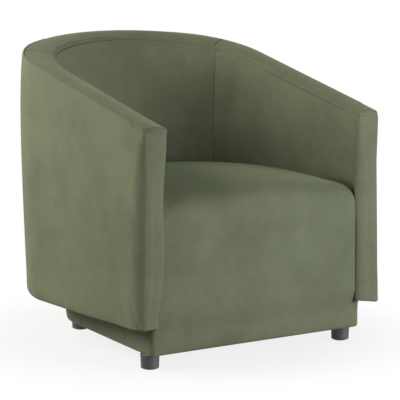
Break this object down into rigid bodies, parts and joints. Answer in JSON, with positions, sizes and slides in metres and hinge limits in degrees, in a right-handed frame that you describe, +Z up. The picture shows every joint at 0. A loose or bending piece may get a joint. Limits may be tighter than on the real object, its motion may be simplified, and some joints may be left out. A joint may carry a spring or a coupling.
{
  "type": "barrel accent armchair",
  "caption": "Barrel accent armchair: a padded horseshoe shell with arms that slope down to the front, a tight crowned seat, a recessed plinth and short turned feet, in velvet.",
  "frame": {"origin": "on the floor, under the middle of the overall box", "axes": "+Z up, the chair faces -Y, +X to the sitter's left"},
  "size_m": [0.764, 0.7399, 0.7783],
  "materials": {
    "velvet": "olive green velvet with a soft nap",
    "foam": "upholstery foam",
    "timber": "sawn frame timber",
    "plywood": "birch plywood",
    "webbing": "elastic upholstery webbing",
    "dust_cloth": "black non-woven cloth",
    "foot": "turned wood in satin black lacquer",
    "glide": "moulded plastic glide",
    "steel": "zinc plated stud"
  },
  "bodies": {
    "root": {"arm_front_left": "velvet", "arm_front_right": "velvet", "arm_post_left": "timber", "arm_post_right": "timber", "back_post_left": "timber", "back_post_right": "timber", "back_webbing": "webbing", "base_board": "plywood", "dust_cover": "dust_cloth", "foot_front_left": "foot", "foot_front_right": "foot", "foot_glides": "glide", "foot_rear_left": "foot", "foot_rear_right": "foot", "foot_studs": "steel", "inside_arm_cover_left": "velvet", "inside_arm_cover_right": "velvet", "inside_arm_foam_left": "foam", "inside_arm_foam_right": "foam", "inside_back_cover": "velvet", "inside_back_foam": "foam", "outside_arm_left": "velvet", "outside_arm_right": "velvet", "outside_back": "velvet", "plinth_blocks": "timber", "plinth_cover": "velvet", "plinth_rail_back": "timber", "plinth_rail_front": "timber", "plinth_rail_left": "timber", "plinth_rail_right": "timber", "rim_strip_back": "velvet", "rim_strip_left": "velvet", "rim_strip_right": "velvet", "seat_cover": "velvet", "seat_foam": "foam", "seat_rail_back": "timber", "seat_rail_front": "timber", "seat_rail_left": "timber", "seat_rail_right": "timber", "seat_webbing_cross": "webbing", "seat_webbing_long": "webbing", "shell_liner": "plywood", "side_post_left": "timber", "side_post_right": "timber", "top_rail_back": "timber", "top_rail_left": "timber", "top_rail_right": "timber"}
  },
  "joints": []
}
